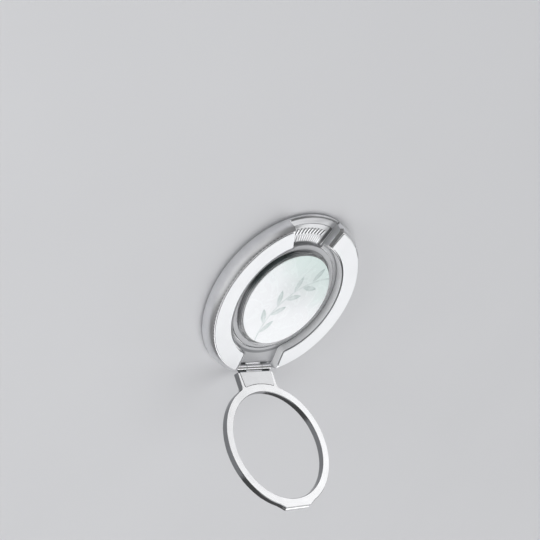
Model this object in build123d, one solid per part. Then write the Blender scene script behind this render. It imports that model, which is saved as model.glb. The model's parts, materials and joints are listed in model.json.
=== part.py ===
from build123d import *
import os
from math import asin, cos, degrees, radians, sin, sqrt

# The origin is the centre of the back face, the face that lies against a phone.
# +Z points away from the phone and the hinge lies towards -Y.

# Finger ring
finger_hole_radius = 17.9
ring_band_width = 2.7
ring_thickness = 2.0
ring_edge = 0.15
tab_half_width = 7.6
tab_neck_fillet = 1.3
tab_heel = 0.3
foot_half_width = 4.6
foot_flank = 3.0
foot_reach = 0.45
foot_bevel = 0.55
open_angle = 120.46

# How the ring folds into its recess
ring_side_gap = 0.2
tab_side_gap = 0.4
fold_gap = 0.25
bay_flare = 0.45
bay_corner_radius = 1.6

# Holder, outwards from the recess
liner_wall = 0.25
liner_fit = 0.05
lip_width = 0.35
soft_fit = 0.05
soft_arc_width = 5.83
rim_width = 0.27
shoulder_width = 1.4
foot_chamfer = 0.25
rim_round = 0.12

# Holder, from the front towards the phone
holder_thickness = 5.65
soft_arc_thickness = 1.0
soft_arc_proud = 0.35
soft_arc_edge = 0.22
liner_drop = 0.15
lip_drop = 1.5
recess_depth = 2.6
bay_step = 0.1
liner_floor = 0.45
shoulder_height = 2.2
back_pad_thickness = 0.5
back_pad_inset = 0.7
back_plate_thickness = 0.6
back_rim_width = 0.9
plate_fit = 0.1

# Corners of the soft arcs
soft_notch_corner = 0.5
soft_mouth_corner = 0.9
soft_end_margin = 1.0

# Notch for a fingertip, opposite the hinge
notch_half_angle = 20.7
notch_rim_drop = 1.3
notch_rim_width = 2.6
notch_rim_round = 0.9
notch_end_chamfer = 0.85
grip_thickness = 0.3
grip_gap = 0.2
grip_inner_gap = 0.15
grip_nick_radius = 0.35
grip_side_rise = 0.4
grip_side_width = 1.1
grip_side_flat = 0.25
rib_count = 9
rib_width = 0.65
rib_length = 2.2
rib_height = 0.35
rib_round = 0.25
rib_slant = 20.0
rib_pitch = 1.4
rib_row_inset = 1.45

# Disc in the middle
cover_side_gap = 0.4
cover_wall = 1.0
cover_top_wall = 0.25
cover_crown_drop = 0.05
cover_dome = 0.5
cover_shoulder = 0.45
cup_flange = 1.75
cup_fit = 0.1
cup_gap = 0.25
cup_edge = 0.15
cup_floor = 0.5
disc_thickness = 0.2
disc_gap = 0.05
disc_side_gap = 0.1
housing_floor = 0.8

# Hinge
hinge_inset = 2.48
axis_above_face = 0.4
pin_radius = 0.45
pin_grip = 0.02
pin_clearance = 0.05
pin_end_gap = 0.1
knuckle_radius = 1.05
middle_knuckle_half = 3.2
knuckle_gap = 0.18
side_knuckle_length = 3.87
hinge_to_tab = 1.72
floor_edge_gap = 0.42
trough_clearance = 0.3

# Leaf on the ring
ring_leaf_thickness = 0.8
ring_leaf_proud = 0.12
ring_leaf_gap = 0.1
ring_leaf_inset = 0.95
ring_leaf_taper = 0.5
ring_leaf_corner = 0.5
ring_web_thickness = 0.4

# Leaf under the floor of the bay, with its screws
base_leaf_thickness = 0.6
base_leaf_half_width = 5.5
base_leaf_length = 3.9
base_leaf_fit = 0.08
base_web_rise = 0.15
screw_spacing = 7.2
screw_head_radius = 1.1
screw_head_depth = 0.5
screw_shank_radius = 0.6
screw_length = 1.2
screw_drive_radius = 0.4
screw_drive_depth = 0.3

# Magnets under the two arms
magnets_per_arm = 8
magnet_thickness = 1.2
magnet_gap_angle = 1.2
magnet_fit = 0.15
arm_half_angle = 62.4
yoke_thickness = 0.4
chamber_end_angle = 0.7
chamber_headroom = 0.05
chamber_inner_wall = 1.7
chamber_outer_wall = 1.8

# Radii that follow
ring_radius = finger_hole_radius + ring_band_width
recess_radius = ring_radius + ring_side_gap
wall_margin = liner_wall + liner_fit
lip_margin = wall_margin + lip_width
soft_margin = lip_margin + soft_fit
soft_inner_radius = recess_radius + soft_margin
soft_outer_radius = soft_inner_radius + soft_arc_width
front_radius = soft_outer_radius + rim_width
holder_radius = front_radius + shoulder_width
notch_rim_radius = holder_radius - notch_rim_width
cover_radius = finger_hole_radius - cover_side_gap
cover_bore_radius = cover_radius - cover_wall
disc_radius = cover_bore_radius - disc_side_gap
cup_radius = cover_radius + cup_flange
floor_hole_radius = cup_radius + cup_gap
grip_inner_radius = floor_hole_radius + grip_inner_gap
grip_outer_radius = notch_rim_radius - grip_gap
chamber_inner_radius = recess_radius + wall_margin + chamber_inner_wall
chamber_outer_radius = holder_radius - chamber_outer_wall
beyond = 2 * holder_radius

# Heights that follow
front_height = holder_thickness - soft_arc_proud
soft_seat = holder_thickness - soft_arc_thickness
liner_top = holder_thickness - liner_drop
lip_height = holder_thickness - lip_drop
floor_height = holder_thickness - recess_depth
liner_seat = floor_height - liner_floor
notch_rim_height = floor_height - notch_rim_drop
notch_floor = notch_rim_height - grip_thickness
plate_top = back_pad_thickness + back_plate_thickness
cup_seat = plate_top + housing_floor
core_seat = cup_seat + cup_floor
cover_crown = holder_thickness - cover_crown_drop
cover_edge_height = cover_crown - cover_dome
cover_ceiling = cover_edge_height - cover_top_wall
disc_top = cover_ceiling - disc_gap
disc_underside = disc_top - disc_thickness
yoke_underside = plate_top + magnet_thickness
chamber_top = yoke_underside + yoke_thickness + chamber_headroom

# Hinge and leaves that follow
folded_height = floor_height + fold_gap
folded_top = folded_height + ring_thickness
axis_height = folded_height + axis_above_face
hinge_reach = holder_radius - hinge_inset
tab_end = hinge_reach - hinge_to_tab
floor_edge = hinge_reach - knuckle_radius - floor_edge_gap
trough_height = axis_height - knuckle_radius - trough_clearance
bay_neck_width = tab_half_width + tab_side_gap
side_knuckle_start = middle_knuckle_half + knuckle_gap
side_knuckle_end = side_knuckle_start + side_knuckle_length
ring_leaf_low = folded_height - ring_leaf_proud
ring_leaf_top = ring_leaf_low + ring_leaf_thickness
ring_leaf_half_width = tab_half_width - ring_leaf_inset
base_leaf_top = liner_seat - base_leaf_fit
base_leaf_seat = base_leaf_top - base_leaf_thickness
hinge_axis = Axis((0, -hinge_reach, axis_height), (1, 0, 0))


def upright(outline, low, high):
    """A flat outline raised from one height to another."""
    return Pos(0, 0, low) * extrude(outline, high - low)


def turned(*points):
    """A solid turned about the holder's axis from points given as radius and height."""
    return revolve(Plane.XZ * make_face(Polyline(*points, close=True)), Axis.Z)


def across(profile, start, end):
    """A profile given in Y and Z, drawn out along X."""
    return extrude(Plane.YZ.offset(start) * profile, end - start)


def barrel(radius, start, end):
    """A round bar on the hinge axis."""
    return across(Pos(-hinge_reach, axis_height) * Circle(radius), start, end)


def wedge(middle, half_angle):
    rim = [(beyond * cos(radians(a)), beyond * sin(radians(a)))
           for a in (middle - half_angle, middle, middle + half_angle)]
    return Polygon((0, 0), *rim, align=None)


def arc_band(inner, outer, middle, half_angle):
    return (Circle(outer) - Circle(inner)) & wedge(middle, half_angle)


def bay(margin):
    """The way for the tab, from the recess out through the rim, flaring outwards."""
    start = sqrt(recess_radius**2 - bay_neck_width**2)
    neck = bay_neck_width + margin
    mouth = neck + bay_flare * (beyond - start) / (holder_radius - start)
    return Polygon((-neck, 0), (-neck, -start), (-mouth, -beyond),
                   (mouth, -beyond), (neck, -start), (neck, 0), align=None)


def recess(margin):
    """The outline that the ring and its tab fold into, grown by a margin."""
    radius = recess_radius + margin
    shape = Circle(radius) + bay(margin)
    inner_corners = [v for v in shape.vertices() if -radius < v.Y < -radius / 2]
    return fillet(inner_corners, bay_corner_radius - margin)


def past_floor_edge():
    """Everything on the outer side of the edge where the floor of the bay ends."""
    strip = Rectangle(beyond, beyond, align=(Align.CENTER, Align.MAX))
    return Pos(0, -floor_edge) * strip


def soft_arc_outlines(margin):
    """Both soft arcs with their rounded corners, grown by a margin for their pockets."""
    end_angle = degrees(asin((soft_end_margin - margin) / soft_inner_radius))
    shape = Circle(soft_outer_radius + margin) - Circle(soft_inner_radius - margin)
    shape = shape - wedge(90, notch_half_angle + end_angle) - bay(soft_margin - margin)
    middle = (soft_inner_radius + soft_outer_radius) / 2
    corner_rules = [
        (lambda v: v.Y < -middle / 2 and Vector(v).length < middle,
         bay_corner_radius - soft_margin + margin),
        (lambda v: v.Y < -middle / 2 and Vector(v).length > middle, soft_mouth_corner + margin),
        (lambda v: v.Y > middle / 2, soft_notch_corner + margin),
    ]
    for at_corner, radius in corner_rules:
        shape = fillet([v for v in shape.vertices() if at_corner(v)], radius)
    return shape


def soft_arc(side):
    outline = [f for f in soft_arc_outlines(0).faces() if f.center().X * side > 0][0]
    arc = upright(outline, soft_seat, holder_thickness)
    return fillet(arc.edges().group_by(Axis.Z)[-1], soft_arc_edge)


def housing_outline():
    """Half of the shell's section, with its upright wall curving in to the front edge."""
    low = back_pad_thickness
    foot = (holder_radius - foot_chamfer, low)
    wall = (holder_radius, low + foot_chamfer)
    shoulder = (holder_radius, shoulder_height)
    edge = (front_radius, front_height)
    return make_face([
        Line((0, low), foot),
        Line(foot, wall),
        Line(wall, shoulder),
        TangentArc(shoulder, edge, tangent=(0, 1)),
        Line(edge, (0, front_height)),
        Line((0, front_height), (0, low)),
    ])


def housing_blank():
    """The full shell, before anything is cut into it."""
    outline = housing_outline()
    front_corner = outline.vertices().sort_by_distance((front_radius, front_height, 0))[0]
    return revolve(Plane.XZ * fillet(front_corner, rim_round), Axis.Z)


def notch_cut():
    """The fingertip notch, down to a low rim outside and a sunk floor behind it."""
    inner = cup_radius + cup_fit
    whole = arc_band(inner, beyond, 90, notch_half_angle)
    sunk = arc_band(inner, notch_rim_radius, 90, notch_half_angle)
    return (upright(whole, notch_rim_height, holder_thickness)
            + upright(sunk, notch_floor, holder_thickness))


def arm_end_cut():
    """What the chamfer takes off the end of the right arm, along its front and shoulder."""
    arm = extrude(Plane.XZ * housing_outline(), holder_thickness)
    end_edges = [e for e in arm.faces().sort_by(Axis.Y)[-1].edges()
                 if e.center().X > 0.1 and e.center().Z > back_pad_thickness + foot_chamfer]
    arm = chamfer(end_edges, notch_end_chamfer)
    strip = Rectangle(beyond, notch_end_chamfer, align=(Align.MIN, Align.MAX))
    cut = upright(strip, notch_rim_height, holder_thickness) - arm
    return Rot(0, 0, 90 - notch_half_angle) * cut


def notched_shell():
    """The shell with its notch, its low rim rounded and the ends of its arms chamfered."""
    shell = housing_blank() - notch_cut()
    rim = [e for e in shell.edges().filter_by(GeomType.CIRCLE)
           if abs(e.center().Z - notch_rim_height) < 0.01 and e.radius > notch_rim_radius + 1]
    shell = fillet(rim, notch_rim_round)
    return shell - arm_end_cut() - arm_end_cut().mirror(Plane.YZ)


def base_leaf_plate(margin):
    """The leaf under the floor of the bay, from the floor's edge inwards."""
    plate = Rectangle(2 * (base_leaf_half_width + margin), base_leaf_length + 2 * margin)
    return Pos(0, -floor_edge + base_leaf_length / 2) * plate


def screw_places():
    return [Pos(side * screw_spacing / 2, -floor_edge + base_leaf_length / 2)
            for side in (-1, 1)]


def hinge_seat():
    """The room under the floor of the bay for the fixed leaf and its knuckle."""
    well = Pos(0, -floor_edge) * Rectangle(
        2 * (middle_knuckle_half + base_leaf_fit),
        hinge_reach - floor_edge + base_leaf_fit,
        align=(Align.CENTER, Align.MAX))
    seat = upright(base_leaf_plate(base_leaf_fit) + well, base_leaf_seat, floor_height)
    for place in screw_places():
        hole = place * Circle(screw_shank_radius + base_leaf_fit)
        seat += upright(hole, plate_top, floor_height)
    return seat


def magnet_chamber(middle):
    band = arc_band(chamber_inner_radius, chamber_outer_radius, middle,
                    arm_half_angle + chamber_end_angle)
    return upright(band, plate_top, chamber_top)


def housing():
    body = notched_shell()
    body -= upright(recess(wall_margin) - past_floor_edge(), liner_seat, holder_thickness)
    body -= upright(bay(wall_margin) & past_floor_edge(), trough_height, holder_thickness)
    body -= upright(recess(lip_margin), lip_height, holder_thickness)
    body -= upright(Circle(cup_radius + cup_fit), cup_seat, holder_thickness)
    body -= hinge_seat()
    body -= upright(Circle(holder_radius - back_rim_width), 0, plate_top)
    body -= upright(soft_arc_outlines(soft_fit), soft_seat, holder_thickness)
    body -= magnet_chamber(0)
    return body - magnet_chamber(180)


def back_plate():
    radius = holder_radius - back_rim_width - plate_fit
    return upright(Circle(radius), back_pad_thickness, plate_top)


def back_pad():
    return upright(Circle(holder_radius - back_pad_inset), 0, back_pad_thickness)


def liner():
    """The thin pan that lines the recess: a wall, a floor and a slightly lower bay."""
    open_notch = wedge(90, notch_half_angle)
    kept = Circle(soft_outer_radius) - open_notch
    wall = (recess(liner_wall) - recess(0)) & kept
    floor = (recess(liner_wall) - Circle(floor_hole_radius) - past_floor_edge()) & kept
    seat_band = Circle(ring_radius) - Circle(floor_hole_radius) - open_notch
    return (upright(wall, liner_seat, liner_top)
            + upright(floor, liner_seat, floor_height - bay_step)
            + upright(seat_band, liner_seat, floor_height))


def grip_side():
    """The turned-up side of the grip plate, along the notch's right wall."""
    top = notch_rim_height + grip_side_rise
    profile = Polygon((grip_gap, notch_floor), (grip_gap + grip_side_width, notch_floor),
                      (grip_gap + grip_side_width, notch_rim_height),
                      (grip_gap + grip_side_flat, top), (grip_gap, top), align=None)
    strip = across(profile, grip_inner_radius + grip_gap, grip_outer_radius - grip_gap)
    return Rot(0, 0, 90 - notch_half_angle) * strip


def rib():
    """One round-topped rib of the grip plate."""
    bar = upright(Rectangle(rib_width, rib_length), notch_floor, notch_rim_height + rib_height)
    return fillet(bar.edges().group_by(Axis.Z)[-1], rib_round)


def grip_plate():
    """The plate in the notch, with turned-up sides and slanted ribs for the fingertip."""
    apex = grip_gap / sin(radians(notch_half_angle))
    outline = Circle(grip_outer_radius) - Circle(grip_inner_radius)
    outline &= Pos(0, apex) * wedge(90, notch_half_angle)
    outline -= Pos(0, grip_inner_radius) * Circle(grip_nick_radius)
    plate = upright(outline, notch_floor, notch_rim_height)
    plate += grip_side() + grip_side().mirror(Plane.YZ)
    row_radius = grip_outer_radius - rib_row_inset - rib_length / 2
    rib_angle = degrees(rib_pitch / row_radius)
    for i in range(rib_count):
        turn = (i - (rib_count - 1) / 2) * rib_angle
        plate += Rot(0, 0, turn) * Pos(0, row_radius) * Rot(0, 0, -rib_slant) * rib()
    return plate


def disc_cup():
    bore = cover_radius + cup_fit
    return turned((0, cup_seat), (cup_radius, cup_seat), (cup_radius, floor_height - cup_edge),
                  (cup_radius - cup_edge, floor_height), (bore, floor_height),
                  (bore, core_seat), (0, core_seat))


def disc_core():
    return upright(Circle(disc_radius), core_seat, disc_underside)


def pearl_disc():
    return upright(Circle(disc_radius), disc_underside, disc_top)


def clear_cover():
    """The domed clear cap over the disc."""
    shoulder_start = (cover_radius, cover_edge_height - cover_shoulder)
    shoulder_end = (cover_radius - cover_shoulder, cover_edge_height)
    dome_radius = (shoulder_end[0] ** 2 + cover_dome**2) / (2 * cover_dome)
    lines = [
        Line((cover_bore_radius, core_seat), (cover_radius, core_seat)),
        Line((cover_radius, core_seat), shoulder_start),
        TangentArc(shoulder_start, shoulder_end, tangent=(0, 1)),
        RadiusArc(shoulder_end, (0, cover_crown), -dome_radius),
        Line((0, cover_crown), (0, cover_ceiling)),
        Line((0, cover_ceiling), (cover_bore_radius, cover_ceiling)),
        Line((cover_bore_radius, cover_ceiling), (cover_bore_radius, core_seat)),
    ]
    return revolve(Plane.XZ * make_face(lines), Axis.Z)


def magnet(middle, index):
    pitch = 2 * arm_half_angle / magnets_per_arm
    angle = middle - arm_half_angle + pitch * (index + 0.5)
    band = arc_band(chamber_inner_radius + magnet_fit, chamber_outer_radius - magnet_fit,
                    angle, (pitch - magnet_gap_angle) / 2)
    return upright(band, plate_top, yoke_underside)


def yoke(middle):
    band = arc_band(chamber_inner_radius + magnet_fit, chamber_outer_radius - magnet_fit,
                    middle, arm_half_angle)
    return upright(band, yoke_underside, yoke_underside + yoke_thickness)


def screw_shape(margin):
    """One countersunk screw, grown by a margin for its hole."""
    top = base_leaf_top + margin
    neck = base_leaf_top - screw_head_depth
    tip = base_leaf_top - screw_length - margin
    head = screw_head_radius + margin
    shank = screw_shank_radius + margin
    return turned((0, top), (head, top), (shank, neck), (shank, tip), (0, tip))


def hinge_screws():
    drive = upright(Circle(screw_drive_radius), base_leaf_top - screw_drive_depth, base_leaf_top)
    screw = screw_shape(0) - drive
    return Compound(children=[place * screw for place in screw_places()])


def base_leaf():
    """The fixed leaf: a plate under the floor that rises into the middle knuckle."""
    leaf = upright(base_leaf_plate(0), base_leaf_seat, base_leaf_top)
    inner = (knuckle_radius + pin_radius) / 2
    web = Polygon((-floor_edge, base_leaf_seat), (-floor_edge, base_leaf_top),
                  (-floor_edge - floor_edge_gap, floor_height + base_web_rise),
                  (-hinge_reach + inner * sin(radians(45)), axis_height - inner * cos(radians(45))),
                  (-hinge_reach, axis_height - inner), (-hinge_reach, base_leaf_seat), align=None)
    leaf += across(web, -middle_knuckle_half, middle_knuckle_half)
    leaf += barrel(knuckle_radius, -middle_knuckle_half, middle_knuckle_half)
    leaf -= barrel(pin_radius + pin_grip, -middle_knuckle_half, middle_knuckle_half)
    for place in screw_places():
        leaf -= place * screw_shape(base_leaf_fit)
    return leaf


def hinge_pin():
    end = side_knuckle_end - pin_end_gap
    return barrel(pin_radius, -end, end)


def ring_leaf_plate(margin):
    """The leaf on the tab, which ends in an arc along the finger ring."""
    wide = ring_leaf_half_width + margin
    narrow = wide - ring_leaf_taper
    inner_end = sqrt(ring_radius**2 - ring_leaf_half_width**2) - ring_leaf_corner
    shape = Polygon((-wide, -tab_end), (wide, -tab_end), (narrow, -inner_end),
                    (-narrow, -inner_end), align=None) - Circle(ring_radius - margin)
    arc_corners = shape.vertices().sort_by(Axis.Y)[-2:]
    return fillet(arc_corners, ring_leaf_corner + margin)


def ring_leaf():
    """The leaf of the ring as it lies when folded, with its two outer knuckles."""
    leaf = upright(ring_leaf_plate(0), ring_leaf_low, ring_leaf_top)
    web_end = min(ring_leaf_half_width, side_knuckle_end)
    for start, end, web_low, web_high in (
            (side_knuckle_start, side_knuckle_end, side_knuckle_start, web_end),
            (-side_knuckle_end, -side_knuckle_start, -web_end, -side_knuckle_start)):
        web = Polygon((-hinge_reach, ring_leaf_top - ring_web_thickness),
                      (-tab_end, ring_leaf_top - ring_web_thickness),
                      (-tab_end, ring_leaf_top), (-hinge_reach, ring_leaf_top), align=None)
        leaf += across(web, web_low, web_high) + barrel(knuckle_radius, start, end)
    return leaf - barrel(pin_radius + pin_clearance, -side_knuckle_end, side_knuckle_end)


def ring_outline():
    flank = foot_half_width + foot_flank
    flank_y = sqrt(ring_radius**2 - flank**2)
    foot_end = ring_radius + foot_reach
    tab = Polygon((-tab_half_width, -tab_end), (tab_half_width, -tab_end),
                  (tab_half_width, 0), (-tab_half_width, 0), align=None)
    foot = Polygon((-flank, flank_y), (flank, flank_y),
                   (foot_half_width, foot_end), (-foot_half_width, foot_end), align=None)
    shape = Circle(ring_radius) + tab
    necks = [v for v in shape.vertices() if -ring_radius < v.Y < -ring_radius / 2]
    return fillet(necks, tab_neck_fillet) + foot - Circle(finger_hole_radius)


def ring():
    """The finger ring as it lies when folded, with its tab, leaf pocket and foot."""
    body = upright(ring_outline(), folded_height, folded_top)
    faces_edges = body.edges().group_by(Axis.Z)[0] + body.edges().group_by(Axis.Z)[-1]
    body = chamfer(faces_edges, ring_edge)
    foot_end = ring_radius + foot_reach
    bevel = Polygon((foot_end - foot_bevel, folded_height), (beyond, folded_height),
                    (beyond, folded_top), (foot_end, folded_top), align=None)
    heel = Polygon((-tab_end, folded_top - tab_heel), (-tab_end + tab_heel, folded_top),
                   (-tab_end, folded_top), align=None)
    body -= across(bevel, -foot_half_width - foot_flank, foot_half_width + foot_flank)
    body -= across(heel, -beyond, beyond)
    return body - upright(ring_leaf_plate(ring_leaf_gap), 0, ring_leaf_top)


def opened(solid):
    """A piece of the ring turned about the pin from folded to its open place."""
    return solid.rotate(hinge_axis, open_angle)


def all_pieces():
    pieces = {
        "housing": housing(),
        "back_plate": back_plate(),
        "back_pad": back_pad(),
        "recess_liner": liner(),
        "left_soft_arc": soft_arc(-1),
        "right_soft_arc": soft_arc(1),
        "grip_plate": grip_plate(),
        "disc_cup": disc_cup(),
        "disc_core": disc_core(),
        "pearl_disc": pearl_disc(),
        "clear_cover": clear_cover(),
        "base_hinge_leaf": base_leaf(),
        "hinge_screws": hinge_screws(),
        "hinge_pin": hinge_pin(),
        "ring_hinge_leaf": opened(ring_leaf()),
        "finger_ring": opened(ring()),
    }
    for name, middle in (("right", 0), ("left", 180)):
        pieces[name + "_yoke"] = yoke(middle)
        for index in range(magnets_per_arm):
            pieces[f"{name}_magnet_{index + 1}"] = magnet(middle, index)
    return pieces


os.makedirs("parts", exist_ok=True)
for node, solid in all_pieces().items():
    export_step(solid, f"parts/{node}.step")
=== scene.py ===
import json
from math import cos, pi, radians, sin

import bmesh
import bpy
import numpy as np
from mathutils import Matrix

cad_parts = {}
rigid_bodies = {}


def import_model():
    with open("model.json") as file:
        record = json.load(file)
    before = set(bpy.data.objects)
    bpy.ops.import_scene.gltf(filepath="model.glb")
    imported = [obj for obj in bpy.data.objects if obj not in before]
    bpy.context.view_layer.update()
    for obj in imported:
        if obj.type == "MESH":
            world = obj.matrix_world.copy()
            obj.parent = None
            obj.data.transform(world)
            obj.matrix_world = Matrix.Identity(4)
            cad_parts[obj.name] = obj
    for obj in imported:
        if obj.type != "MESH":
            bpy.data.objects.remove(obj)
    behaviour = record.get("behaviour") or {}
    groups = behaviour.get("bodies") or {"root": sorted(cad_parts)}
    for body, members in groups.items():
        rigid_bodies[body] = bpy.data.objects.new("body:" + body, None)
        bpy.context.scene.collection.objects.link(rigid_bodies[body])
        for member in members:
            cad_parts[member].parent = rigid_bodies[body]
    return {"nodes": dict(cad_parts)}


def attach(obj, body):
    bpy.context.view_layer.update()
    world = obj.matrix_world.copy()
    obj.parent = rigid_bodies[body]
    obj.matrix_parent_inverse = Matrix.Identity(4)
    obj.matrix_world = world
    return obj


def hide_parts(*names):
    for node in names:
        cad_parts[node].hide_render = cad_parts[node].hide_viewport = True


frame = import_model()
nodes = frame["nodes"]
mm = 0.001

for spare in [o for o in bpy.data.objects if o.name in ("Cube", "Light", "Camera")]:
    bpy.data.objects.remove(spare, do_unlink=True)
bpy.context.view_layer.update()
print("frame loaded:", len(nodes), "nodes")


class Value:
    # one socket; every operator adds one Math node
    def __init__(self, graph, socket):
        self.graph, self.socket = graph, socket

    def __add__(self, other):
        return self.graph.maths("ADD", self, other)

    def __radd__(self, other):
        return self.graph.maths("ADD", other, self)

    def __sub__(self, other):
        return self.graph.maths("SUBTRACT", self, other)

    def __rsub__(self, other):
        return self.graph.maths("SUBTRACT", other, self)

    def __mul__(self, other):
        return self.graph.maths("MULTIPLY", self, other)

    def __rmul__(self, other):
        return self.graph.maths("MULTIPLY", other, self)

    def __truediv__(self, other):
        return self.graph.maths("DIVIDE", self, other)

    def __rtruediv__(self, other):
        return self.graph.maths("DIVIDE", other, self)


class Graph:
    # a node tree, with one way to add a node: its type, settings and inputs
    def __init__(self, tree):
        self.tree = tree
        tree.nodes.clear()

    def add(self, kind, settings=None, inputs=None, out=0):
        node = self.tree.nodes.new(kind)
        for key, value in (settings or {}).items():
            setattr(node, key, value)
        for key, value in (inputs or {}).items():
            if isinstance(value, Value):
                self.tree.links.new(value.socket, node.inputs[key])
            else:
                node.inputs[key].default_value = value
        return Value(self, node.outputs[out]) if node.outputs else node

    def maths(self, operation, *values):
        return self.add("ShaderNodeMath", {"operation": operation}, dict(enumerate(values)))

    def vector(self, operation, *values, out=0):
        inputs = dict(enumerate(values))
        return self.add("ShaderNodeVectorMath", {"operation": operation}, inputs, out)

    def place(self, centre=(0, 0, 0)):
        # object coordinates in millimetres, from a centre in metres
        spot = self.add("ShaderNodeTexCoord", out="Object")
        return self.vector("MULTIPLY", self.vector("SUBTRACT", spot, centre), (1 / mm, 1 / mm, 1 / mm))

    def along(self, spot, axis):
        return self.vector("DOT_PRODUCT", spot, axis, out="Value")

    def height(self, spot):
        return self.along(spot, (0, 0, 1))

    def flat(self, spot):
        # the spot dropped onto the plane z = 0
        return self.vector("MULTIPLY", spot, (1, 1, 0))

    def joined(self, x, y, z):
        return self.add("ShaderNodeCombineXYZ", None, {"X": x, "Y": y, "Z": z})

    def noise(self, spot, scale, detail=2.0, roughness=0.5, distortion=0.0):
        return self.add("ShaderNodeTexNoise", None, {
            "Vector": spot, "Scale": scale, "Detail": detail,
            "Roughness": roughness, "Distortion": distortion})

    def blend(self, factor, first, second):
        return self.add("ShaderNodeMix", {"data_type": "RGBA"}, {
            "Factor": factor, "A": first, "B": second}, out="Result")

    def between(self, value, low, high, toLow=0.0, toHigh=1.0):
        return self.add("ShaderNodeMapRange", {"interpolation_type": "SMOOTHSTEP"}, {
            "Value": value, "From Min": low, "From Max": high,
            "To Min": toLow, "To Max": toHigh})

    def within(self, value, rise, full, fade, gone):
        # 1 from full to fade, and 0 before rise and after gone
        return self.between(value, rise, full) * self.between(value, fade, gone, 1.0, 0.0)

    def bump(self, height, strength, relief):
        # relief is in mm
        return self.add("ShaderNodeBump", None, {
            "Height": height, "Strength": strength, "Distance": relief * mm})


def finished(name, metallic=0.0, coat=0.0):
    # a material with one plain shader; constants sit on the shader's own sockets
    material = bpy.data.materials.new(name)
    material.use_nodes = True
    graph = Graph(material.node_tree)
    shader = graph.add("ShaderNodeBsdfPrincipled", None, {
        "Metallic": metallic, "Coat Weight": coat, "Coat Roughness": 0.06, "IOR": 1.5})
    graph.add("ShaderNodeOutputMaterial", None, {"Surface": shader})
    graph.shader = shader.socket.node
    return material, graph


def feed(graph, **links):
    for key, value in links.items():
        graph.tree.links.new(value.socket, graph.shader.inputs[key.replace("_", " ")])


def shade(tone, share=1.0):
    # a share of a tone, as a colour
    return (*(c * share for c in tone), 1)


def gloss(roughness, *waves):
    # a roughness that sways: each wave is a noise round 0.5 and how much of it counts
    return sum((noise - 0.5) * reach for noise, reach in waves) + roughness


blasted = {"grainScale": 5.5, "grainDetail": 0.6, "grainGloss": 0.06, "grainDepth": 0.10,
           "relief": 0.02, "cloudScale": 0.16, "cloudFade": (0.35, 0.65), "cloudTone": 0.93,
           "cloudGloss": 0.08}


def blastedMetal(name, tone, roughness):
    # bead-blasted metal: fine even grain, and broad faint clouds in its tone and gloss
    material, graph = finished(name, metallic=1.0)
    spot = graph.place()
    fine = graph.noise(spot, blasted["grainScale"], roughness=blasted["grainDetail"])
    broad = graph.noise(spot, blasted["cloudScale"], detail=3.0)
    cloud = graph.between(broad, *blasted["cloudFade"])
    feed(graph,
         Base_Color=graph.blend(cloud, shade(tone, blasted["cloudTone"]), shade(tone)),
         Roughness=gloss(roughness, (broad, blasted["cloudGloss"]), (fine, blasted["grainGloss"])),
         Normal=graph.bump(fine, blasted["grainDepth"], blasted["relief"]))
    return material


brushed = {"linesAcross": 7.0, "linesRound": 3.0, "lineTone": 0.92, "lineGloss": 0.16,
           "relief": 0.02, "cloudScale": 0.2, "cloudGloss": 0.08, "litStripEdge": 0.1,
           "shadedBandEdges": (0.3, 0.2)}


def brushedMetal(name, tone, roughness, centre=(0, 0, 0), across=(1, 0, 0), up=(0, 1, 0),
                 depth=0.12, metallic=1.0, strip=None, shadedBands=()):
    # metal brushed round a centre: noise that is fine over the radius and long round the circle;
    # a painted highlight strip lies past a height, within a half width of the middle plane, in its own
    # tone;
    # each band of painted shade lies between two radii, in its own tone
    material, graph = finished(name, metallic=metallic)
    spot = graph.place(centre)
    x, y = graph.along(spot, across), graph.along(spot, up)
    radius = graph.maths("SQRT", x * x + y * y)
    roundly = brushed["linesRound"]
    circle = graph.joined(radius * brushed["linesAcross"], x / radius * roundly, y / radius * roundly)
    lines = graph.noise(circle, 1.0, detail=3.0)
    broad = graph.noise(spot, brushed["cloudScale"])
    colour = graph.blend(lines, shade(tone, brushed["lineTone"]), shade(tone))
    # the strip is a painted highlight on the dark-painted sides
    if strip:
        soft = brushed["litStripEdge"]
        middle = graph.maths("ABSOLUTE", graph.along(spot, tuple(np.cross(across, up))))
        lit = graph.between(y, strip["from"], strip["from"] + soft)
        lit = lit * graph.between(middle, strip["half"] - soft, strip["half"] + soft, 1.0, 0.0)
        colour = graph.blend(lit, colour, shade(strip["tone"]))
    # the bands darken the floor at the foot of the wall: painted shade
    rise, fade = brushed["shadedBandEdges"]
    for inner, outer, other in shadedBands:
        band = graph.within(radius, inner, inner + rise, outer - fade, outer)
        colour = graph.blend(band, colour, shade(other))
    feed(graph,
         Base_Color=colour,
         Roughness=gloss(roughness, (lines, brushed["lineGloss"]), (broad, brushed["cloudGloss"])),
         Normal=graph.bump(lines, depth, brushed["relief"]))
    return material


# the fingertip notch, in mm: the angle of its side walls to the Y axis, where it begins, how far
# its chamfers lean, and its low rim's height and slope
notch = {"wallAngle": 20.7, "from": 15.0, "chamferLean": (0.55, 0.85), "rimTop": 1.8, "rimUp": 0.5}

# the plate in the notch, in mm: serrations in a band of radius, a painted reflection of the side
# walls by the distance from them, and the ribs' painted shaded flanks and lit tops by height
grip = {"band": (19.7, 22.3), "bandEdge": 0.3, "pitch": 0.92, "crestEdge": 0.6, "toothShare": 0.8,
        "toothHeight": 3.0, "grainHeight": 0.4, "depth": 0.35, "relief": 0.05, "cloudScale": 0.2,
        "side": (0.45, 0.65, 1.3, 2.0), "flankShadeHeight": (1.77, 1.85), "flankShadeRadius": (25.4, 25.6),
        "ribTopLight": (1.98, 2.06), "shadedTone": 0.55, "litTone": 1.3, "wallReflectionTone": 0.15,
        "metallic": 0.9}


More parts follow.
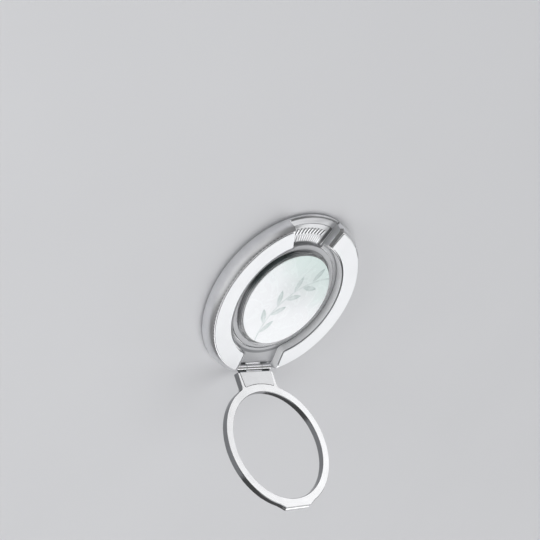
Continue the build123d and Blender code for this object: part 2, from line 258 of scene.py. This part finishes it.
def serratedMetal(name, tone, roughness):
    # blasted metal with fine radial serrations in one band of radius, painted pale on the crests and
    # dark between them as painted light and shade; a tooth takes one pitch of the band's mean circle:
    # phase = 2 pi r a / pitch for the angle a
    material, graph = finished(name, metallic=grip["metallic"])
    spot = graph.place()
    fine = graph.noise(spot, blasted["grainScale"], roughness=blasted["grainDetail"])
    broad = graph.noise(spot, grip["cloudScale"])
    x, y = graph.along(spot, (1, 0, 0)), graph.along(spot, (0, 1, 0))
    radius, height = graph.maths("SQRT", x * x + y * y), graph.height(spot)
    wall = radians(notch["wallAngle"])
    fromWall = y * sin(wall) - graph.maths("ABSOLUTE", x) * cos(wall)
    # dark near the side walls: a painted reflection of the walls
    wallReflection = graph.within(fromWall, *grip["side"])
    # the ribs' flanks painted dark and their tops pale: painted shade and painted highlight
    flankShade = graph.between(height, *grip["flankShadeHeight"])
    flankShade = flankShade * graph.between(radius, *grip["flankShadeRadius"], 1.0, 0.0)
    inner, outer = grip["band"]
    band = graph.within(radius, inner, inner + grip["bandEdge"], outer - grip["bandEdge"], outer)
    teeth = graph.maths("SINE", graph.maths("ARCTAN2", y, x) * (pi * (inner + outer) / grip["pitch"]))
    # crests painted pale and valleys dark: painted highlight and painted shade
    crest = band * graph.between(teeth, -grip["crestEdge"], grip["crestEdge"])
    shadedColour, litColour = shade(tone, grip["shadedTone"]), shade(tone, grip["litTone"])
    cloud = graph.between(broad, *blasted["cloudFade"])
    face = graph.blend(cloud, shade(tone, blasted["cloudTone"]), shade(tone))
    face = graph.blend(band * grip["toothShare"], face, graph.blend(crest, shadedColour, litColour))
    litRibs = graph.blend(graph.between(height, *grip["ribTopLight"]), graph.blend(flankShade, face, shadedColour), litColour)
    feed(graph,
         Base_Color=graph.blend(wallReflection, litRibs, shade(tone, grip["wallReflectionTone"])),
         Roughness=gloss(roughness, (broad, blasted["cloudGloss"]), (fine, blasted["grainGloss"])),
         Normal=graph.bump(crest * grip["toothHeight"] + fine * grip["grainHeight"],
                           grip["depth"], grip["relief"]))
    return material


# the hinge, in mm and degrees: the axis (y, z), the ring's opening at rest, the painted shade beside
# the knuckles by the distance from the axis, how far out the ring's leaf takes its own finish,
# and the trough's half width, reach towards the disc and depths under the axis; the trough takes
# painted shade
hinge = {"axis": (-26.52, 3.70), "open": 120.46, "knuckleShade": (0.95, 1.8), "knuckleShadeEdge": 0.05,
         "knuckleShadeTone": (0.10, 0.105, 0.11), "leafEnd": 20.0, "troughHalf": 8.5,
         "troughAhead": 1.2, "troughDepth": (0.9, 2.6)}
tabWay = (0, cos(radians(hinge["open"])), sin(radians(hinge["open"])))  # out along the open tab

polished = {"hairStretch": (0.6, 9.0, 9.0), "hairGloss": 0.04, "hairDepth": 0.02, "relief": 0.01,
            "smudgeScale": 0.35, "smudgeFade": (0.3, 0.7), "smudgeTone": 0.96, "smudgeGloss": 0.03}


def polishedMetal(name, tone, roughness, knuckleShaded=False):
    # polished metal with hairlines along X and faint smudges; a piece with knuckle shade is painted
    # dark from the hinge axis out to the end of that painted shade beside the knuckles
    material, graph = finished(name, metallic=1.0)
    spot = graph.place()
    hair = graph.noise(graph.vector("MULTIPLY", spot, polished["hairStretch"]), 1.0)
    smudge = graph.noise(spot, polished["smudgeScale"])
    dimmed = graph.between(smudge, *polished["smudgeFade"])
    colour = graph.blend(dimmed, shade(tone, polished["smudgeTone"]), shade(tone))
    # dark near the knuckles: painted shade
    if knuckleShaded:
        outwards = graph.along(graph.place((0, *(c * mm for c in hinge["axis"]))), tabWay)
        end, soft = hinge["knuckleShade"][1], hinge["knuckleShadeEdge"]
        past = graph.between(outwards, end - soft, end + soft)
        colour = graph.blend(past, shade(hinge["knuckleShadeTone"]), colour)
    feed(graph,
         Base_Color=colour,
         Roughness=gloss(roughness, (smudge, polished["smudgeGloss"]), (hair, polished["hairGloss"])),
         Normal=graph.bump(hair, polished["hairDepth"], polished["relief"]))
    return material


moulded = {"relief": 0.02, "pebbleMiddle": 0.4, "pebbleGloss": 0.12, "cloudScale": 0.12,
           "cloudFade": (0.3, 0.7), "cloudTone": 0.965, "cloudGloss": 0.06, "gapShadeEdge": 0.04}


def softSkin(name, tone, roughness, grainScale=4.0, grain=0.12, gapShade=None):
    # smooth moulded rubber: a fine pebble, a slight sheen and hardly any change of tone;
    # below a height, in mm, a skin turns dark: painted shade in the gap where it meets the metal
    material, graph = finished(name)
    spot = graph.place()
    pebble = graph.add("ShaderNodeTexVoronoi", {"feature": "SMOOTH_F1"},
                       {"Vector": spot, "Scale": grainScale}, out="Distance")
    broad = graph.noise(spot, moulded["cloudScale"])
    cloud = graph.between(broad, *moulded["cloudFade"])
    colour = graph.blend(cloud, shade(tone, moulded["cloudTone"]), shade(tone))
    if gapShade:
        # below this height the skin is painted dark: painted shade
        foot, gapShadeTone = gapShade
        soft = moulded["gapShadeEdge"]
        above = graph.between(graph.height(spot), foot - soft, foot + soft)
        colour = graph.blend(above, shade(gapShadeTone), colour)
    sway = (pebble - moulded["pebbleMiddle"]) * moulded["pebbleGloss"]
    feed(graph,
         Base_Color=colour,
         Roughness=sway + (broad - 0.5) * moulded["cloudGloss"] + roughness,
         Normal=graph.bump(pebble, grain, moulded["relief"]))
    return material


# the print on the disc, in mm and degrees: a stem on a circle with leaves in turn on both sides
sprig = {"stemCentre": (16.0, -14.0), "stemRadius": 22.0, "stemHalf": 0.15, "stemInk": 0.7,
         "leafLength": 6.6, "leafHalf": 1.15, "spread": 38.0, "softEdge": 0.35,
         "turns": (176, 167, 158, 149, 140, 131, 122, 113), "vein": (0.03, 0.14), "veinInk": 0.55,
         "washScale": 0.35, "washFade": (0.3, 0.7), "wash": (0.45, 0.85), "tipFrom": 0.2, "tipInk": 0.5,
         "leafTone": (0.44, 0.54, 0.53), "tipTone": (0.24, 0.36, 0.345)}

paper = {"tone": (0.95, 0.965, 0.99), "mintTone": (0.74, 0.865, 0.84), "mintWay": (0.45, 0.89, 0),
         "mintFrom": (-1.0, 15.0), "ripple": 0.12, "rippleBend": 0.5, "rippleReach": 12.0,
         "hazeTone": (0.50, 0.56, 0.56), "hazeCentre": (2.0, 3.0, 0), "hazeRadius": (3.0, 11.0),
         "hazeReach": 8.0, "hazeInk": 0.22, "silkTone": (0.70, 0.78, 0.78), "silkInk": 0.10,
         "silkWaves": (34.0, 0.35), "silkFade": (0.5, 1.0), "silkGloss": 0.1, "roughness": 0.24,
         "depth": 0.2, "relief": 0.1, "coat": 0.6}


def leafMask(graph, spot, turn, side):
    # one pointed leaf on the stem: half width w (1 - (u / h)^2), fading over a soft edge;
    # u runs along the leaf from its middle, v across it
    radius, length = sprig["stemRadius"], sprig["leafLength"]
    way = radians(turn - 90 + side * sprig["spread"])
    middle = (sprig["stemCentre"][0] + radius * cos(radians(turn)) + cos(way) * length / 2,
              sprig["stemCentre"][1] + radius * sin(radians(turn)) + sin(way) * length / 2, 0)
    away = graph.vector("SUBTRACT", spot, middle)
    u = graph.along(away, (cos(way), sin(way), 0)) * (2 / length)
    v = graph.maths("ABSOLUTE", graph.along(away, (-sin(way), cos(way), 0)))
    shape = graph.between((1 - u * u) * sprig["leafHalf"] - v, 0.0, sprig["softEdge"])
    vein = graph.between(v, *sprig["vein"], sprig["veinInk"], 1.0)
    return shape * vein, shape * graph.between(u, sprig["tipFrom"], 1.0)


def pearlPrint(name):
    # pearly print: silver-white turning mint towards one side, with one faint sprig of leaves
    material, graph = finished(name, coat=paper["coat"])
    flat = graph.flat(graph.place())
    ripple = graph.noise(flat, paper["ripple"], detail=3.0, distortion=paper["rippleBend"])
    up = graph.along(flat, paper["mintWay"])
    mint = graph.between(up + (ripple - 0.5) * paper["rippleReach"], *paper["mintFrom"])
    base = graph.blend(mint, shade(paper["tone"]), shade(paper["mintTone"]))
    fromHaze = graph.vector("SUBTRACT", flat, paper["hazeCentre"])
    fromHaze = graph.vector("LENGTH", fromHaze, out="Value") + (ripple - 0.5) * paper["hazeReach"]
    haze = graph.between(fromHaze, *paper["hazeRadius"], paper["hazeInk"], 0.0)
    base = graph.blend(haze, base, shade(paper["hazeTone"]))
    overRipple, overUp = paper["silkWaves"]
    silk = graph.maths("SINE", ripple * overRipple + up * overUp)
    silk = graph.between(silk, *paper["silkFade"])
    fromStem = graph.vector("DISTANCE", flat, (*sprig["stemCentre"], 0), out="Value")
    onStem = graph.maths("ABSOLUTE", fromStem - sprig["stemRadius"])
    leaves = graph.between(onStem, sprig["stemHalf"], sprig["stemHalf"] * 3, sprig["stemInk"], 0.0)
    tips = 0.0
    for count, turn in enumerate(sprig["turns"]):
        shape, tip = leafMask(graph, flat, turn, 1 if count % 2 else -1)
        leaves = graph.maths("MAXIMUM", leaves, shape)
        tips = graph.maths("MAXIMUM", tips, tip)
    patches = graph.noise(flat, sprig["washScale"])
    wash = graph.between(patches, *sprig["washFade"], *sprig["wash"])
    inked = graph.blend(leaves * wash, base, shade(sprig["leafTone"]))
    shaded = graph.blend(tips * sprig["tipInk"], inked, shade(sprig["tipTone"]))
    feed(graph,
         Base_Color=graph.blend(silk * paper["silkInk"], shaded, shade(paper["silkTone"])),
         Roughness=silk * paper["silkGloss"] + paper["roughness"],
         Normal=graph.bump(ripple, paper["depth"], paper["relief"]))
    return material


# the core's side, with a reflection painted into it: the middle of its dark green stretch in degrees,
# the cosines between which it turns grey, and the painted highlight streaks in the grey by height
core = {"middle": 135.0, "stretch": (0.76, 0.955), "cloudScale": 0.4, "cloudGloss": 0.1,
        "reflectedGreen": ((0.06, 0.085, 0.085), (0.11, 0.14, 0.14)),
        "reflectedGrey": ((0.30, 0.305, 0.32), (0.97, 0.975, 0.985)),
        "glintStreaks": (9.5, 1.5), "glintStreakEdges": (0.1, 0.9), "roughness": 0.2, "coat": 0.4}


def reflectionGloss(name):
    # the core's side: a painted reflection, dark green over one stretch of the circle, turning grey
    # on both sides of it, with painted highlight streaks
    material, graph = finished(name, coat=core["coat"])
    spot = graph.place()
    cloud = graph.noise(spot, core["cloudScale"], detail=3.0)
    overHeight, overCloud = core["glintStreaks"]
    wave = graph.maths("SINE", graph.height(spot) * overHeight + cloud * overCloud)
    glintStreak = graph.between(wave, *core["glintStreakEdges"])
    middle = radians(core["middle"])
    way = graph.vector("NORMALIZE", graph.flat(spot))
    nearMiddle = graph.along(way, (cos(middle), sin(middle), 0))
    # the green and the grey are a painted reflection; the streaks are painted highlights
    reflectedGreen = graph.blend(cloud, *(shade(tone) for tone in core["reflectedGreen"]))
    reflectedGrey = graph.blend(glintStreak, *(shade(tone) for tone in core["reflectedGrey"]))
    feed(graph,
         Base_Color=graph.blend(graph.between(nearMiddle, *core["stretch"]), reflectedGrey, reflectedGreen),
         Roughness=gloss(core["roughness"], (cloud, core["cloudGloss"])))
    return material


# the clear cap's finish, in mm: its edge zone by radius and by height, and how much its face and
# its edge mirror
clear = {"edgeRadius": (17.1, 17.3), "edgeHeight": 4.65, "edgeSoft": 0.05, "faceMirror": 0.04,
         "edgeMirror": 0.22, "waveScale": 0.5, "waveGloss": 0.03, "roughness": 0.005,
         "depth": 0.03, "relief": 0.05, "tones": ((0.97, 0.985, 0.985), (0.99, 1.0, 1.0))}


def clearResin(name):
    # clear resin lets the light straight through; its face mirrors a little, more towards grazing
    # angles, and its rounded edge mirrors more, since light also comes back from inside it
    material, graph = finished(name, metallic=1.0)
    spot = graph.place()
    wave = graph.noise(spot, clear["waveScale"], detail=1.0)
    slant = graph.add("ShaderNodeLayerWeight", None, {"Blend": 0.5}, out="Facing")
    mirror = slant * slant * slant * slant * slant * (1 - clear["faceMirror"]) + clear["faceMirror"]
    radius = graph.vector("LENGTH", graph.flat(spot), out="Value")
    edge = graph.between(radius, *clear["edgeRadius"], 0.0, clear["edgeMirror"])
    foot, soft = clear["edgeHeight"], clear["edgeSoft"]
    edge = edge * graph.between(graph.height(spot), foot - soft, foot + soft)
    feed(graph,
         Alpha=graph.maths("MAXIMUM", mirror, edge),
         Base_Color=graph.blend(wave, *(shade(tone) for tone in clear["tones"])),
         Roughness=wave * clear["waveGloss"] + clear["roughness"],
         Normal=graph.bump(wave, clear["depth"], clear["relief"]))
    return material


# the open ring is brushed round its own centre, in metres
openRing = {"centre": (0, -40.48 * mm, 26.26 * mm), "across": (1, 0, 0), "up": tabWay}

# each finish: what makes it, and its values; lengths are in mm: a painted shade band's two radii,
# where a painted highlight strip starts and its half width, and the height below which a cushion
# takes painted shade
finishes = {
    "satinSilver": (blastedMetal, {"tone": (0.88, 0.885, 0.90), "roughness": 0.30}),
    # a darker copy of the satin silver for the trough under the knuckles: painted shade
    "troughSilver": (blastedMetal, {"tone": (0.55, 0.555, 0.57), "roughness": 0.42}),
    # a darker copy of the satin silver for the low rim and the front: painted shade
    "rimSilver": (blastedMetal, {"tone": (0.57, 0.575, 0.59), "roughness": 0.34}),
    "yokeSteel": (blastedMetal, {"tone": (0.55, 0.56, 0.58), "roughness": 0.4}),
    "ribbedSilver": (serratedMetal, {"tone": (0.66, 0.665, 0.68), "roughness": 0.30}),
    # the dark band at the foot of the liner's wall is painted shade
    "linerSilver": (brushedMetal, {"tone": (0.44, 0.445, 0.46), "roughness": 0.38, "metallic": 0.45,
                                   "shadedBands": ((20.2, 21.5, (0.20, 0.205, 0.215)),)}),
    # the liner's upright walls in a light tone, its floor darker: painted light
    "linerWall": (brushedMetal, {"tone": (0.93, 0.935, 0.95), "roughness": 0.40, "metallic": 0.0}),
    "ringSilver": (brushedMetal, {"tone": (0.92, 0.925, 0.94), "roughness": 0.22, "depth": 0.06,
                                  **openRing}),
    # the ring's sides in a dark tone: a painted reflection; the light strip at the foot is a painted
    # highlight
    "ringEdge": (brushedMetal, {"tone": (0.30, 0.305, 0.315), "roughness": 0.14, "depth": 0.04,
                                "strip": {"from": 20.0, "half": 0.3, "tone": (0.92, 0.925, 0.94)},
                                **openRing}),
    "hingeSteel": (polishedMetal, {"tone": (0.93, 0.935, 0.95), "roughness": 0.20}),
    "leafSteel": (polishedMetal, {"tone": (0.72, 0.725, 0.74), "roughness": 0.20, "knuckleShaded": True}),
    "chamferSilver": (polishedMetal, {"tone": (0.80, 0.805, 0.82), "roughness": 0.10}),
    # the dark steel beside the knuckles is painted shade
    "darkSteel": (polishedMetal, {"tone": hinge["knuckleShadeTone"], "roughness": 0.30}),
    "nickel": (polishedMetal, {"tone": (0.72, 0.70, 0.66), "roughness": 0.2}),
    # the cushions darken below their top edge: painted shade in the gap beside them
    "whiteSkin": (softSkin, {"tone": (0.945, 0.96, 0.985), "roughness": 0.42,
                             "gapShade": (5.47, (0.16, 0.165, 0.17))}),
    "padRubber": (softSkin, {"tone": (0.72, 0.73, 0.74), "roughness": 0.6, "grainScale": 3.0,
                             "grain": 0.3}),
    "platePlastic": (softSkin, {"tone": (0.50, 0.51, 0.53), "roughness": 0.5, "grainScale": 5.0,
                                "grain": 0.2}),
    "pearl": (pearlPrint, {}),
    # the core's colours are a painted reflection, and on the cup's well painted shade
    "coreBlack": (reflectionGloss, {}),
    "resin": (clearResin, {}),
}
finish = {name: make(name, **values) for name, (make, values) in finishes.items()}
print("finishes made:", len(finish))


def inScene(name, data):
    # a new object in the scene, for a mesh, a lamp or a camera
    thing = bpy.data.objects.new(name, data)
    bpy.context.scene.collection.objects.link(thing)
    return thing


rounding = {"merge": 1e-7, "flatter": 0.4, "sharp": 32, "segments": 2}  # metres, degrees


def skinned(name, width):
    # a merged copy of a CAD node whose sharp edges are rounded by a width in mm, to catch light
    shell = bmesh.new()
    shell.from_mesh(nodes[name].data)
    bmesh.ops.remove_doubles(shell, verts=shell.verts, dist=rounding["merge"])
    bmesh.ops.dissolve_limit(shell, angle_limit=radians(rounding["flatter"]),
                             verts=shell.verts, edges=shell.edges)
    mesh = bpy.data.meshes.new(name + "Skin")
    shell.to_mesh(mesh)
    shell.free()
    for spareLayer in [a for a in mesh.attributes if a.name == "custom_normal"]:
        mesh.attributes.remove(spareLayer)
    sharp = radians(rounding["sharp"])
    mesh.shade_smooth()
    mesh.set_sharp_from_angle(angle=sharp)
    piece = inScene(name + "Skin", mesh)
    edge = piece.modifiers.new("edges", "BEVEL")
    edge.width, edge.segments, edge.limit_method = width * mm, rounding["segments"], "ANGLE"
    edge.angle_limit, edge.harden_normals = sharp, True
    return piece


def faceFacts(piece):
    # every face's normal, and its middle in mm
    mesh = piece.data
    normals, middles = np.zeros(len(mesh.polygons) * 3), np.zeros(len(mesh.polygons) * 3)
    mesh.polygons.foreach_get("normal", normals)
    mesh.polygons.foreach_get("center", middles)
    return normals.reshape(-1, 3), middles.reshape(-1, 3) / mm


def refinish(piece, chosen, material):
    # the chosen faces get a finish of their own
    mesh = piece.data
    index = np.zeros(len(mesh.polygons), dtype=np.int32)
    mesh.polygons.foreach_get("material_index", index)
    index[chosen] = len(mesh.materials)
    mesh.materials.append(material)
    mesh.polygons.foreach_set("material_index", index)
    mesh.update()
    print("faces refinished:", piece.name, int(chosen.sum()))


steepest = {"ring": 0.85, "liner": 0.3}  # cosines


def edgeFinish(piece, axis, cosine, material):
    # faces whose normals make a smaller cosine than this with an axis
    normals, _ = faceFacts(piece)
    refinish(piece, np.abs(normals @ np.array(axis)) < cosine, material)


def notchFinish(piece, chamfer, rim):
    # the chamfers of the arm ends, by how far they lean to the side walls, and the low rim, in a
    # darker tone: painted shade
    normals, middles = faceFacts(piece)
    wall = radians(notch["wallAngle"])
    lean = -normals[:, 0] * np.sign(middles[:, 0]) * cos(wall) + normals[:, 1] * sin(wall)
    inNotch = middles[:, 1] > notch["from"]
    least, most = notch["chamferLean"]
    refinish(piece, inNotch & (lean > least) & (lean < most), chamfer)
    low = (middles[:, 2] < notch["rimTop"]) & (normals[:, 2] > notch["rimUp"])
    refinish(piece, inNotch & low, rim)


front = {"fromHeight": 5.15, "fromRadius": 26.8}  # mm


def frontShadeFinish(piece, material):
    # the narrow front beside the cushions, in a darker tone: painted shade
    _, middles = faceFacts(piece)
    outside = np.hypot(middles[:, 0], middles[:, 1]) > front["fromRadius"]
    refinish(piece, outside & (middles[:, 2] > front["fromHeight"]), material)


def tabFinish(piece, near, far, material):
    # faces of the open ring between two distances from the hinge axis, out along the tab
    _, middles = faceFacts(piece)
    outwards = (middles[:, 1:] - np.array(hinge["axis"])) @ np.array(tabWay[1:])
    refinish(piece, (outwards > near) & (outwards < far), material)


def troughShadeFinish(piece, material):
    # the floor of the trough under the knuckles, in a darker tone: painted shade
    _, middles = faceFacts(piece)
    axisY, axisZ = hinge["axis"]
    across, ahead, depth = np.abs(middles[:, 0]), middles[:, 1] - axisY, axisZ - middles[:, 2]
    byKnuckles = (ahead < hinge["troughAhead"]) & (across < hinge["troughHalf"])
    least, most = hinge["troughDepth"]
    refinish(piece, byKnuckles & (depth > least) & (depth < most), material)


# the clear cap, in mm, and the faces of the cup inside it, which take painted shade: how far they
# reach past the cap's radius, and their heights over the cap's foot
cover = {"radius": 17.5, "bore": 16.5, "foot": 2.4, "footRound": 0.06, "wallTop": 4.65, "edge": 5.1,
         "crown": 5.6, "ceiling": 4.85, "shoulder": 0.45, "round": 192, "shoulderSteps": 7,
         "domeSteps": 24, "merge": 1e-5, "sharp": 40, "wellPast": 0.3, "wellHeight": (-0.1, 0.5)}


def wellShadeFinish(piece, material):
    # inside the cup, under the clear cap: painted shade in the core's dark colours
    _, middles = faceFacts(piece)
    inside = np.hypot(middles[:, 0], middles[:, 1]) < cover["radius"] + cover["wellPast"]
    above = middles[:, 2] - cover["foot"]
    least, most = cover["wellHeight"]
    refinish(piece, inside & (above > least) & (above < most), material)


def turnedShell(name, profile, count):
    # each profile point (radius, height) goes once round the axis: x = r cos t, y = r sin t, z = h;
    # points on the axis become one shared vertex
    profile = np.array(profile) * mm
    turn = np.linspace(0, 2 * pi, count, endpoint=False)
    radius, height = profile[:, :1], profile[:, 1:]
    grid = np.stack([radius * np.cos(turn), radius * np.sin(turn), height + 0 * turn], axis=-1)
    rows = np.arange(len(profile) * count).reshape(len(profile), count)
    quads = np.stack([rows[:-1], np.roll(rows[:-1], -1, 1), np.roll(rows[1:], -1, 1), rows[1:]], -1)
    mesh = bpy.data.meshes.new(name)
    mesh.from_pydata(grid.reshape(-1, 3), [], quads.reshape(-1, 4).tolist())
    shell = bmesh.new()
    shell.from_mesh(mesh)
    bmesh.ops.remove_doubles(shell, verts=shell.verts, dist=cover["merge"] * mm)
    bmesh.ops.recalc_face_normals(shell, faces=shell.faces)
    shell.to_mesh(mesh)
    shell.free()
    mesh.shade_smooth()
    mesh.set_sharp_from_angle(angle=radians(cover["sharp"]))
    return inScene(name, mesh)


def clearCoverProfile():
    # foot, upright wall, quarter-round shoulder, shallow dome z = edge + rise (1 - (r / R)^2),
    # then inside
    radius, bore, foot, bend = (cover[key] for key in ("radius", "bore", "foot", "shoulder"))
    flat, rise = radius - bend, cover["crown"] - cover["edge"]
    wall = [(bore, foot), (radius - cover["footRound"], foot), (radius, foot + cover["footRound"])]
    shoulder = [(flat + bend * cos(a), cover["wallTop"] + bend * sin(a))
                for a in np.linspace(0, pi / 2, cover["shoulderSteps"])]
    dome = [(flat * r, cover["edge"] + rise * (1 - r * r))
            for r in np.linspace(1, 0, cover["domeSteps"])[1:]]
    inside = [(0, cover["ceiling"]), (bore, cover["ceiling"]), (bore, foot)]
    return wall + shoulder + dome + inside


def dress(piece, material, body, replaced):
    piece.data.materials.clear()
    piece.data.materials.append(material)
    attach(piece, body)
    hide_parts(replaced)


# rounding of the sharp edges in mm, finish, body and slot
skins = {
    "housing": (0.09, "satinSilver", "holder", "satin_metal"),
    "grip_plate": (0.04, "ribbedSilver", "holder", "satin_metal"),
    "recess_liner": (0.05, "linerSilver", "holder", "liner_metal"),
    "disc_cup": (0.05, "linerSilver", "holder", "liner_metal"),
    "base_hinge_leaf": (0.06, "hingeSteel", "holder", "polished_steel"),
    "hinge_pin": (0.08, "hingeSteel", "holder", "polished_steel"),
    "ring_hinge_leaf": (0.06, "hingeSteel", "ring", "polished_steel"),
    "finger_ring": (0.05, "ringSilver", "ring", "ring_metal"),
}
shown = {}
for name, (width, coating, body, slot) in skins.items():
    shown[name] = skinned(name, width)
    dress(shown[name], finish[coating], body, name)
    print("edges rounded:", name)

ringFace = (0, tabWay[2], -tabWay[1])
# the ring's sides take the dark tone: a painted reflection
edgeFinish(shown["finger_ring"], ringFace, steepest["ring"], finish["ringEdge"])
# the liner's walls take the light tone: painted light
edgeFinish(shown["recess_liner"], (0, 0, 1), steepest["liner"], finish["linerWall"])
notchFinish(shown["housing"], finish["chamferSilver"], finish["rimSilver"])
frontShadeFinish(shown["housing"], finish["rimSilver"])
troughShadeFinish(shown["housing"], finish["troughSilver"])
# the cup's well under the cap is painted dark: painted shade
wellShadeFinish(shown["disc_cup"], finish["coreBlack"])
# the ring's heel beside the knuckles in the dark tone: painted shade
tabFinish(shown["finger_ring"], *hinge["knuckleShade"], finish["darkSteel"])
tabFinish(shown["ring_hinge_leaf"], hinge["knuckleShade"][0], hinge["leafEnd"], finish["leafSteel"])

# the CAD nodes that show their own mesh
kept = {"left_soft_arc": "whiteSkin", "right_soft_arc": "whiteSkin", "back_pad": "padRubber",
        "back_plate": "platePlastic", "disc_core": "coreBlack", "pearl_disc": "pearl",
        "hinge_screws": "hingeSteel", "left_yoke": "yokeSteel", "right_yoke": "yokeSteel"}
kept.update({name: "nickel" for name in nodes if "magnet" in name})
for name, coating in kept.items():
    nodes[name].data.materials.clear()
    nodes[name].data.materials.append(finish[coating])

dress(turnedShell("clearCap", clearCoverProfile(), cover["round"]), finish["resin"],
      "holder", "clear_cover")
print("pieces dressed:", len(skins) + len(kept) + 1)


# metres; each panel has a direction, the cosines where it begins and is full, and its strength
studio = {"floorHalf": 3.0, "floorDrop": 0.02 * mm, "floorTone": (0.64, 0.645, 0.665),
          "floorCloud": 0.02, "floorCloudTone": 0.98, "floorRoughness": 0.55, "floorGloss": 0.1,
          "ambient": 0.18,
          "panels": (((0.16, -0.38, 0.91), 0.71, 0.95, 2.05),
                     ((-0.98, -0.02, 0.10), 0.72, 0.96, 0.55),
                     ((-0.57, 0.78, 0.25), 0.84, 0.98, 0.50),
                     ((0.69, -0.60, 0.36), 0.945, 0.985, 1.35),
                     ((0.79, 0.59, 0.17), 0.95, 0.99, 1.08)),
          "key": (-0.75, 0.05, 0.19), "keyWidth": 0.30, "keyPower": 1.4}


def placed(thing, spot, right, up, back):
    # an object at a spot, with its own axes along right, up and back
    turn = np.stack([right, up, back], axis=1)
    thing.matrix_world = Matrix.Translation(spot) @ Matrix(turn.tolist()).to_4x4()


def makeFloor():
    # a wide square, a hair below the object's foot
    half, level = studio["floorHalf"], -studio["floorDrop"]
    corners = [(x * half, y * half, level) for x, y in ((-1, -1), (1, -1), (1, 1), (-1, 1))]
    mesh = bpy.data.meshes.new("floor")
    mesh.from_pydata(corners, [], [(0, 1, 2, 3)])
    material, graph = finished("floorPaint")
    cloud = graph.noise(graph.place(), studio["floorCloud"])
    tone = studio["floorTone"]
    feed(graph,
         Base_Color=graph.blend(cloud, shade(tone), shade(tone, studio["floorCloudTone"])),
         Roughness=cloud * studio["floorGloss"] + studio["floorRoughness"])
    mesh.materials.append(material)
    inScene("floor", mesh)


def makeLight():
    # a dim room with soft panels, and one side lamp
    world = bpy.data.worlds.new("studio")
    world.use_nodes = True
    bpy.context.scene.world = world
    graph = Graph(world.node_tree)
    way = graph.add("ShaderNodeTexCoord", out="Generated")
    glow = studio["ambient"]
    for panel, begins, full, strength in studio["panels"]:
        pull = np.array(panel) / np.linalg.norm(panel)
        glow = graph.between(graph.along(way, tuple(pull)), begins, full, 0.0, strength) + glow
    sky = graph.add("ShaderNodeBackground", None, {"Color": (1.0, 1.0, 1.0, 1), "Strength": glow})
    graph.add("ShaderNodeOutputWorld", None, {"Surface": sky})
    lamp = bpy.data.lights.new("key", "AREA")
    lamp.shape, lamp.size, lamp.energy = "DISK", studio["keyWidth"], studio["keyPower"]
    key = inScene("key", lamp)
    back = np.array(studio["key"]) / np.linalg.norm(studio["key"])
    side = np.cross((0, 1, 0), back)
    side /= np.linalg.norm(side)
    placed(key, studio["key"], side, np.cross(back, side), back)
    key.visible_glossy = False  # it lifts the matt faces; the panels alone are mirrored


view = {"right": (0.7228, 0.3814, 0.5763), "up": (-0.0025, 0.8354, -0.5497),
        "back": (-0.6911, 0.3958, 0.6048), "from": (-0.3762, 0.2191, 0.3225),
        "lens": 115.3, "sensor": 36, "nearest": 0.01}


def makeCamera():
    # the photograph's place and angle
    lens = bpy.data.cameras.new("camera")
    lens.lens, lens.sensor_width, lens.clip_start = view["lens"], view["sensor"], view["nearest"]
    camera = inScene("camera", lens)
    placed(camera, view["from"], view["right"], view["up"], view["back"])
    bpy.context.scene.camera = camera


makeFloor()
makeLight()
makeCamera()
bpy.context.scene.view_settings.view_transform = "Standard"
print("studio ready")
